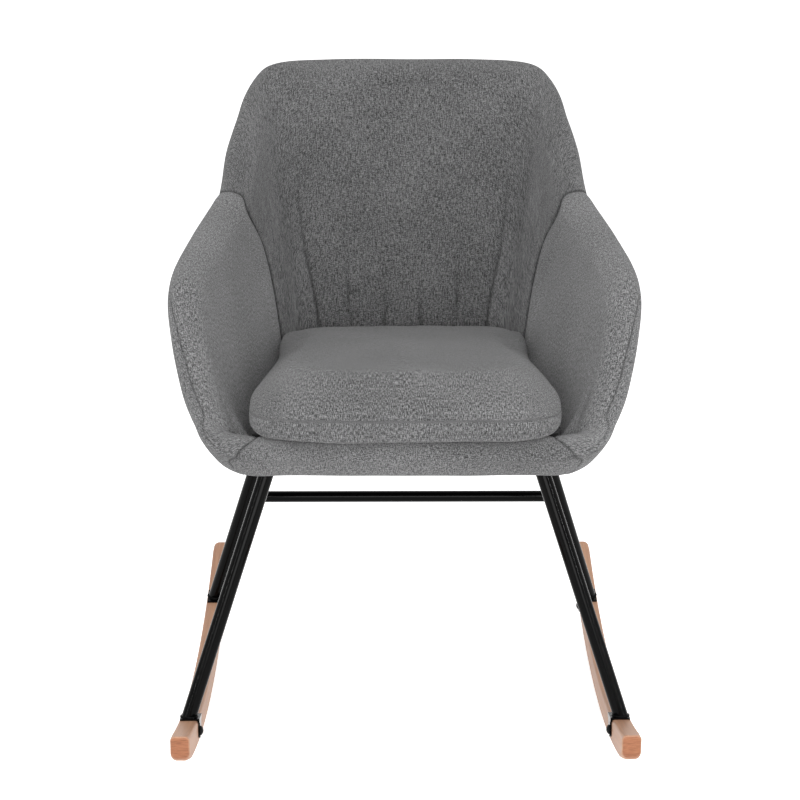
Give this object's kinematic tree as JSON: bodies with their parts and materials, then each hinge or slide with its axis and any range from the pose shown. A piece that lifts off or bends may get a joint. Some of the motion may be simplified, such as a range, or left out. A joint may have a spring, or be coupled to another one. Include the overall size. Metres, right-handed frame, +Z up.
{
  "type": "rocking chair",
  "caption": "Upholstered tub rocking chair with sloping padded arms, a loose seat cushion, splayed black tube legs and curved beech runners.",
  "frame": {"origin": "middle of the chair's plan on the floor, where the runners' lowest points touch it", "axes": "+Z up; -Y the way the sitter faces; +X to the viewer's right when looking at the chair's front"},
  "size_m": [0.5954, 0.693, 0.8314],
  "materials": {
    "fabric_back": "matte",
    "fabric_arms": "matte",
    "fabric_front": "matte",
    "fabric_cushion": "matte",
    "plywood": "satin",
    "deck_lining": "matte",
    "nonwoven": "matte",
    "black_steel": "gloss",
    "black_bolts": "satin",
    "zinc_steel": "satin",
    "beech": "satin"
  },
  "bodies": {
    "chair": {"back_padding": "fabric_back", "arm_padding_left": "fabric_arms", "arm_padding_right": "fabric_arms", "front_padding": "fabric_front", "back_panel": "plywood", "arm_panel_left": "plywood", "arm_panel_right": "plywood", "front_rail": "plywood", "seat_board": "plywood", "seat_deck": "deck_lining", "dust_cover": "nonwoven", "front_strap": "black_steel", "rear_strap": "black_steel", "front_leg_left": "black_steel", "front_leg_right": "black_steel", "rear_leg_left": "black_steel", "rear_leg_right": "black_steel", "crossbar": "black_steel", "foot_bracket_front_left": "black_steel", "foot_bracket_front_right": "black_steel", "foot_bracket_rear_left": "black_steel", "foot_bracket_rear_right": "black_steel", "runner_left": "beech", "runner_right": "beech", "runner_inserts": "zinc_steel", "runner_bolts": "black_bolts", "seat_bolts": "black_bolts", "seat_washers": "zinc_steel", "seat_tnuts": "zinc_steel"},
    "cushion": {"seat_cushion": "fabric_cushion"}
  },
  "joints": [
    {"name": "cushion_lift", "type": "slide", "parent": "chair", "child": "cushion", "axis": [0, 0, 1], "range_m": [0, 0.2]}
  ]
}
